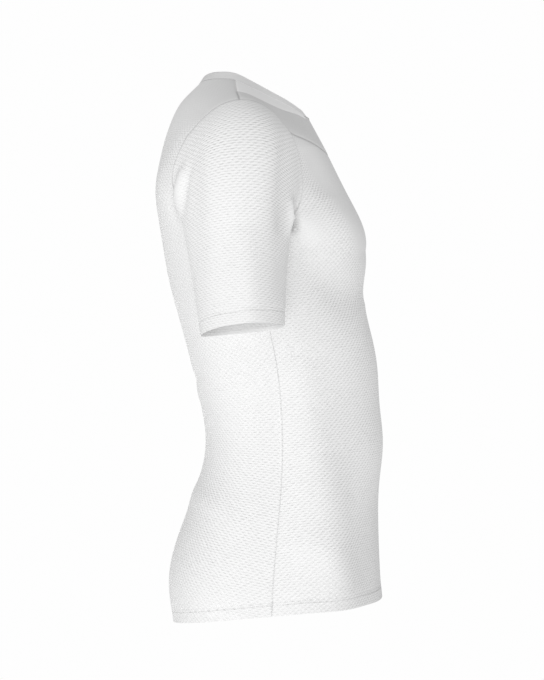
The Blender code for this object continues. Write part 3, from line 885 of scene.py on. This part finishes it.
CLOTH_LOOK = {"Roughness": 0.88, "Specular IOR Level": 0.25, "Sheen Weight": 0.08, "Sheen Roughness": 0.5}
THREAD_GREY = 0.82
THREAD_LOOK = {"Roughness": 0.55}
TWIST_SCALE = 2500
TWIST_HEIGHT = 0.0001
TWIST_SHADE = (0.92, 0.1)  # how light the painted shade leaves its hollows, and how much lighter the painted highlight makes its tops


class Signal:
    """A node's output, which formulas combine with numbers and with other signals."""

    def __init__(self, socket):
        self.socket = socket
        self.tree = socket.id_data

    def math(self, operation, *others, clamp=False):
        inputs = dict(enumerate((self, *others)))
        return signal(self.tree, "ShaderNodeMath", 0, inputs, operation=operation, use_clamp=clamp)

    def __add__(self, other):
        return self.math("ADD", other)

    def __sub__(self, other):
        return self.math("SUBTRACT", other)

    def __mul__(self, other):
        return self.math("MULTIPLY", other)

    def rest(self):
        """1 less this."""
        return self * -1.0 + 1.0

    def wave(self, length):
        return (self * (2 * pi / length)).math("COSINE")


def feed(made, inputs):
    """Sets a node's inputs to values, or joins them to signals."""
    for name, value in inputs.items():
        if isinstance(value, Signal):
            made.id_data.links.new(value.socket, made.inputs[name])
        else:
            made.inputs[name].default_value = value


def node(tree, kind, inputs, **settings):
    made = tree.nodes.new(kind)
    for name, value in settings.items():
        setattr(made, name, value)
    feed(made, inputs)
    return made


def signal(tree, kind, output, inputs=None, **settings):
    """One output of a new node."""
    return Signal(node(tree, kind, inputs or {}, **settings).outputs[output])


def marked(tree, mark):
    return signal(tree, "ShaderNodeAttribute", "Fac", attribute_name=mark)


def noise(place, scale, detail=2.0):
    inputs = {"Vector": place, "Scale": scale, "Detail": detail}
    return signal(place.tree, "ShaderNodeTexNoise", "Fac", inputs)


def vector(x, y, z):
    return signal(x.tree, "ShaderNodeCombineXYZ", 0, {"X": x, "Y": y, "Z": z})


def scaled(grey, light):
    """A grey, as light as the signal says."""
    return signal(light.tree, "ShaderNodeVectorMath", 0, {0: (grey,) * 3, "Scale": light}, operation="SCALE")


def new_material(name, look):
    """A material and its shader, with this look."""
    material = bpy.data.materials.new(name)
    material.use_nodes = True
    shader = material.node_tree.nodes["Principled BSDF"]
    feed(shader, look)
    return material, shader


def relief(across, up, knit):
    """The knit's height: humps in rows, each row half a repeat from the next, ribs, fine wales, and loops of
    uneven size that are twice as wide as high."""
    height = across.wave(knit.across) * up.wave(knit.up) * knit.hump
    height += up.wave(knit.up / 2) * knit.rib
    height += across.wave(2 * WALE).math("ABSOLUTE") * knit.wale
    return height + noise(vector(across, up * 2.0, 0.0), 0.5 / GRAIN, 0.0) * GRAIN_HEIGHT


def knit_material(name, knit):
    """Staggered humps and fine wales, with their relief as slopes along the cloth."""
    material, shader = new_material(name, CLOTH_LOOK)
    tree = material.node_tree
    body = signal(tree, "ShaderNodeTexCoord", "Object")
    flat = node(tree, "ShaderNodeSeparateXYZ", {0: signal(tree, "ShaderNodeUVMap", "UV", uv_map="cloth")})
    uneven = (noise(body, UNEVEN_SCALE) - 0.5) * (knit.across * UNEVEN)
    across, up = Signal(flat.outputs["X"]) + uneven, Signal(flat.outputs["Y"]) + uneven * UNEVEN_UP
    here = relief(across, up, knit)
    beside, above = relief(across + SLOPE_STEP, up, knit), relief(across, up + SLOPE_STEP, knit)
    # A normal map's channels are slopes where 0.5 is level.
    slope = 0.5 / SLOPE_STEP
    slopes = vector((beside - here) * -slope + 0.5, (above - here) * slope + 0.5, 1.0)
    loose = marked(tree, "taut").rest()
    normal = signal(tree, "ShaderNodeNormalMap", 0, {"Strength": loose, "Color": slopes}, uv_map="cloth")
    # The colour carries painted shade in the knit's hollows, and the painted shading marked on the skin:
    # darker above 0, a painted highlight below 0.
    hollow = here.math("DIVIDE", -knit.hump, clamp=True)
    light = (hollow * knit.shade + marked(tree, "painted_shading")).rest()
    cloud = noise(body, CLOUD_SCALE, 3.0) * CLOUD + (1 - CLOUD / 2)
    feed(shader, {"Base Color": scaled(knit.grey, light * cloud), "Normal": normal})
    return material


def thread_material():
    """Twisted polyester thread, a little glossier than the knit."""
    material, shader = new_material("thread", THREAD_LOOK)
    tree = material.node_tree
    twist = noise(signal(tree, "ShaderNodeTexCoord", "Object"), TWIST_SCALE)
    bump = signal(tree, "ShaderNodeBump", 0, {"Distance": TWIST_HEIGHT, "Height": twist})
    # painted shade in the twist's hollows and painted highlight on its tops
    colour = scaled(THREAD_GREY, twist * TWIST_SHADE[1] + TWIST_SHADE[0])
    feed(shader, {"Base Color": colour, "Normal": bump})
    return material


# ---- The pieces ----

# Panel, slot, flat width and length in metres, area in square metres, and what it hangs from.
SHEETS = (
    ("front_body", "jersey", 0.508, 0.586, 0.252, ("front_yoke", "back_body")),
    ("back_body", "jersey", 0.476, 0.743, 0.29, ("neckband",)),
    ("front_yoke", "yoke_jersey", 0.406, 0.127, 0.0248, ("back_body", "neckband")),
    ("neck_panel", "jersey", 0.142, 0.074, 0.0045, ("back_body", "neckband")),
    ("neckband", "band_jersey", 0.52, 0.012, 0.0062, ("back_body",)),
    ("sleeve", "jersey", 0.363, 0.277, 0.075, ("back_body", "front_yoke")),
)


def make_skins():
    """The coarse and the fine skin, smooth and laid flat."""
    cage = Cage()
    build_torso(cage)
    name_armhole(cage)
    build_shoulders(cage)
    build_sleeve(cage)
    plain = subdivided(cage_mesh(cage, standing_proud(cage)), SKIN_LEVELS, mirrored=True)
    for crease in plain.attributes["crease_edge"].data:
        if crease.value <= PIT_CREASE:
            crease.value = 0.0
    lay_flat(plain)
    coarse = subdivided(plain)
    fine = subdivided(coarse)
    return Skin(coarse), Skin(fine)


def sewing_of(panel, side, ending, fine, hem, cuff):
    """The stitching of a panel's hem or cuff, if it has one."""
    if panel in BODY:
        name, distance, rows = "hem_stitches_" + panel.removesuffix("_body"), hem, HEM_ROWS
        centre, facing = (0.0, HEM.seam), (0.0, -1.0 if panel == "front_body" else 1.0)
    elif panel == "sleeve":
        name, distance, rows = "cuff_stitches" + ending, cuff, CUFF_ROWS
        centre, facing = (-side * CUFF_CENTRE.x, CUFF_CENTRE.y), (1.0, 0.0)
    else:
        return []
    faces = fine.faces_of(panel, side)
    lines = [row_line(fine, faces, distance, row, np.array(centre), np.array(facing)) for row in rows]
    return [stitches(name, lines, closed=panel == "sleeve")]


def make_garment():
    coarse, fine = make_skins()
    hem = edge_distance(fine, BODY, TORSO[0].z)
    cuff = edge_distance(fine, SLEEVE, CUFF_CENTRE.z + CUFF_RADIUS / 2)
    fold_push, taut, fold_painted_shading = fold_marks(fine)
    seam_push, seam_painted_shade = seam_marks(fine)
    # Painted shading: painted shade along seams, stitching, folds and parts of panels, and painted highlight
    # where it is below 0.
    push, painted_shading, doubled = fold_push + seam_push, seam_painted_shade + fold_painted_shading, np.zeros(len(taut))
    for distance, rows in ((hem, HEM_ROWS), (cuff, CUFF_ROWS)):
        for row, dip in zip(rows, STITCH_DIPS):
            push -= dip * bell(distance - row, STITCH_SPREAD)
        # painted shade along the first row of stitching
        painted_shading += STITCH_SHADE * bell(distance - rows[0], STITCH_SPREAD)
        turned = np.clip((rows[-1] + TURN_OVER - distance) / TURN_FADE, 0, 1)
        doubled = np.maximum(doubled, turned * np.clip(distance / EDGE_FADE, 0, 1))
    fine.reshape(fine.points + fine.normals * push[:, None])
    band = fine.points_of("neckband")
    band_foot = fine.points[band & fine.points_of("back_body", "front_yoke", "neck_panel")]
    folded = band * np.clip(distance_to(fine.points, band_foot, EDGE_REACH) / EDGE_FADE, 0, 1)
    wall = WALL + (TURN_WALL - WALL) * doubled + (BAND_WALL - WALL) * folded
    # painted shade inside the sleeves: darker at the back, lighter at the front
    inside_painted_shading = fine.points_of("sleeve") * np.interp(fine.points[:, 1], *INSIDE_PAINTED_SHADING)
    marks = {"painted_shading": (painted_shading, inside_painted_shading), "taut": (taut, np.full(len(taut), INSIDE_TAUT))}
    materials = {slot: knit_material(slot, knit) for slot, knit in KNITS.items()}
    thread = thread_material()
    for panel, slot, width, length, area, hangs_from in SHEETS:
        for side, ending in ((-1, "_right"), (1, "_left")) if panel in ONE_A_SIDE else ((0, ""),):
            piece = shell(panel + ending + "_cloth", fine, coarse, panel, side, wall, marks)
            piece.data.materials.append(materials[slot])
            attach(piece, "root")
            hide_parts(panel + ending)
            sewing = sewing_of(panel, side, ending, fine, hem, cuff)
            for rows in sewing:
                rows.data.materials.append(thread)
                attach(rows, "root")


# ---- Stage, light and camera ----

CAMERA_AT = (-2.6, -0.0455, -0.3197)
CAMERA_ANGLE = radians(18.86)  # of the height of the picture
SENSOR_HEIGHT = 36
SKY = 0.625  # the even light from all round
SKY_RISE = 0.09  # how much stronger it is from below, and weaker from above
SKY_LEAN = 0.05  # and from the front and the back
BACKDROP = 0.99  # the white seen behind
WHITE = (1.0, 1.0, 1.0, 1.0)
FLOOR_AT = (0.0, -0.05, -1.05)
FLOOR_RADIUS = 1.3
FLOOR_SIDES = 96
FLOOR_GREY = 0.8
FLOOR_LOOK = {
    "Base Color": (*(FLOOR_GREY,) * 3, 1.0),
    "Roughness": 0.9,
    "Emission Color": WHITE,
    "Emission Strength": BACKDROP - SKY * FLOOR_GREY,
}
# Broad soft keys: name, side (-1 is the wearer's right), strength in watts per square metre, and the degrees
# toward the back and above level.
KEYS = (
    ("key_right", -1, 1.3, 0, -20),
    ("back_right", -1, 0.72, 60, 6),
    ("key_left", 1, 1.15, 5, -20),
)
KEY_SPREAD = radians(35)


def make_floor():
    turns = [2 * pi * i / FLOOR_SIDES for i in range(FLOOR_SIDES)]
    rim = [(FLOOR_RADIUS * cos(turn), FLOOR_RADIUS * sin(turn), 0.0) for turn in turns]
    floor = piece_from("floor", rim, [range(FLOOR_SIDES)])
    floor.location = FLOOR_AT
    floor.data.materials.append(new_material("floor", FLOOR_LOOK)[0])
    floor.visible_diffuse = floor.visible_shadow = False


def make_world():
    """Nearly even light, and a white backdrop that only the camera sees."""
    world = bpy.data.worlds.new("studio")
    world.use_nodes = True
    tree = world.node_tree
    seen = signal(tree, "ShaderNodeLightPath", "Is Camera Ray")
    toward = node(tree, "ShaderNodeSeparateXYZ", {0: signal(tree, "ShaderNodeTexCoord", "Generated")})
    lighting = Signal(toward.outputs["Z"]) * -SKY_RISE + SKY - Signal(toward.outputs["Y"]) * SKY_LEAN
    strength = seen * BACKDROP + seen.rest() * lighting
    feed(tree.nodes["Background"], {"Color": WHITE, "Strength": strength})
    bpy.context.scene.world = world


def make_keys():
    for name, side, strength, turn, height in KEYS:
        light = bpy.data.lights.new(name, "SUN")
        light.energy = strength
        light.angle = KEY_SPREAD
        turn, height = radians(turn), radians(height)
        shining = -Vector((side * cos(turn) * cos(height), sin(turn) * cos(height), sin(height)))
        added(name, light).rotation_euler = shining.to_track_quat("-Z", "Y").to_euler()


def make_camera():
    data = bpy.data.cameras.new("camera")
    data.sensor_fit = "VERTICAL"
    data.sensor_height = SENSOR_HEIGHT
    data.angle_y = CAMERA_ANGLE
    camera = added("camera", data)
    camera.location = CAMERA_AT
    camera.rotation_euler = (pi / 2, 0, -pi / 2)
    bpy.context.scene.camera = camera


make_camera()
make_garment()
make_floor()
make_world()
make_keys()
bpy.context.scene.view_settings.view_transform = "Standard"
